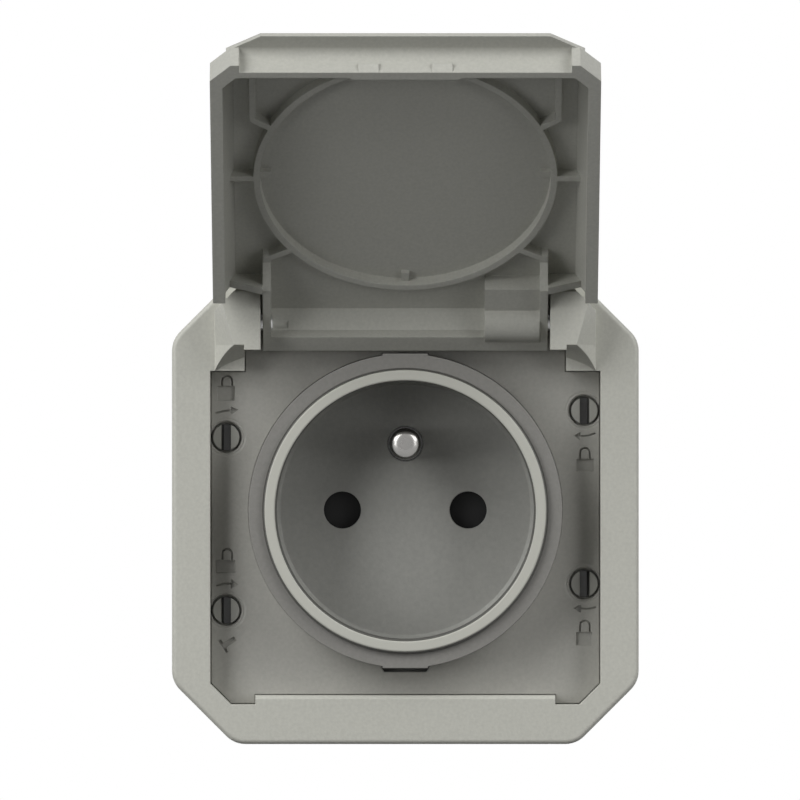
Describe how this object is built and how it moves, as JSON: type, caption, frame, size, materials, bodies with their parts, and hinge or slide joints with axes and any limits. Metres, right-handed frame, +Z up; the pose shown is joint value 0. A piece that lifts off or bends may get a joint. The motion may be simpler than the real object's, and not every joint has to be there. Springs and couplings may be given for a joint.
{
  "type": "outdoor weatherproof socket",
  "caption": "Flush weatherproof socket: octagonal frame, round well with a protruding earth pin, and a deep hinged lid standing open.",
  "frame": {"origin": "where the axis of the plug well crosses the plane of the frame's rear face", "axes": "-Y out of the plug well towards the user, +X to the right, +Z up"},
  "size_m": [0.07, 0.0809, 0.1053],
  "materials": {
    "light_grey_plastic": "finely textured light grey moulding",
    "mid_grey_plastic": "satin mid grey moulding",
    "well_grey_plastic": "finely grained grey moulding",
    "collar_rubber": "dark grey soft moulding with a fine grain",
    "seal_rubber": "black rubber",
    "lock_grey_plastic": "dark grey satin plastic",
    "nickel_plate": "polished nickel plate",
    "contact_brass": "stamped brass",
    "plain_steel": "zinc-plated steel",
    "shutter_plastic": "dark moulded plastic",
    "base_plastic": "dark grey moulded plastic"
  },
  "bodies": {
    "housing": {"front_frame": "light_grey_plastic", "frame_seal": "seal_rubber", "inner_panel": "mid_grey_plastic", "socket_cup": "well_grey_plastic", "collar_seal": "collar_rubber", "lid_pin_left": "plain_steel", "lid_pin_right": "plain_steel", "earth_pin": "nickel_plate", "earth_strap": "contact_brass", "contact_left": "contact_brass", "contact_right": "contact_brass", "shutter_spring": "plain_steel", "mechanism_base": "base_plastic", "terminal_cover": "base_plastic", "terminal_screws": "plain_steel", "panel_screws": "plain_steel", "base_screws": "plain_steel"},
    "lid": {"lid": "light_grey_plastic", "friction_sleeve": "plain_steel"},
    "shutter": {"shutter": "shutter_plastic"},
    "lock_upper_left": {"lock_upper_left": "lock_grey_plastic"},
    "lock_lower_left": {"lock_lower_left": "lock_grey_plastic"},
    "lock_upper_right": {"lock_upper_right": "lock_grey_plastic"},
    "lock_lower_right": {"lock_lower_right": "lock_grey_plastic"}
  },
  "joints": [
    {"name": "lid_hinge", "type": "hinge", "parent": "housing", "child": "lid", "pos_m": [0, -0.0099, 0.0282], "axis": [1, 0, 0], "range_deg": [0, 136.5]},
    {"name": "shutter_slide", "type": "slide", "parent": "housing", "child": "shutter", "axis": [0, 0, -1], "range_m": [0, 0.0058], "stiffness_N_per_m": 120, "springref_m": -0.003, "deforming": ["shutter_spring"]},
    {"name": "lock_upper_left_turn", "type": "hinge", "parent": "housing", "child": "lock_upper_left", "pos_m": [-0.0269, 0, 0.011], "axis": [0, -1, 0], "range_deg": [0, 90]},
    {"name": "lock_lower_left_turn", "type": "hinge", "parent": "housing", "child": "lock_lower_left", "pos_m": [-0.0269, 0, -0.015], "axis": [0, -1, 0], "range_deg": [0, 90]},
    {"name": "lock_upper_right_turn", "type": "hinge", "parent": "housing", "child": "lock_upper_right", "pos_m": [0.0269, 0, 0.015], "axis": [0, 1, 0], "range_deg": [0, 90]},
    {"name": "lock_lower_right_turn", "type": "hinge", "parent": "housing", "child": "lock_lower_right", "pos_m": [0.0269, 0, -0.011], "axis": [0, 1, 0], "range_deg": [0, 90]}
  ]
}
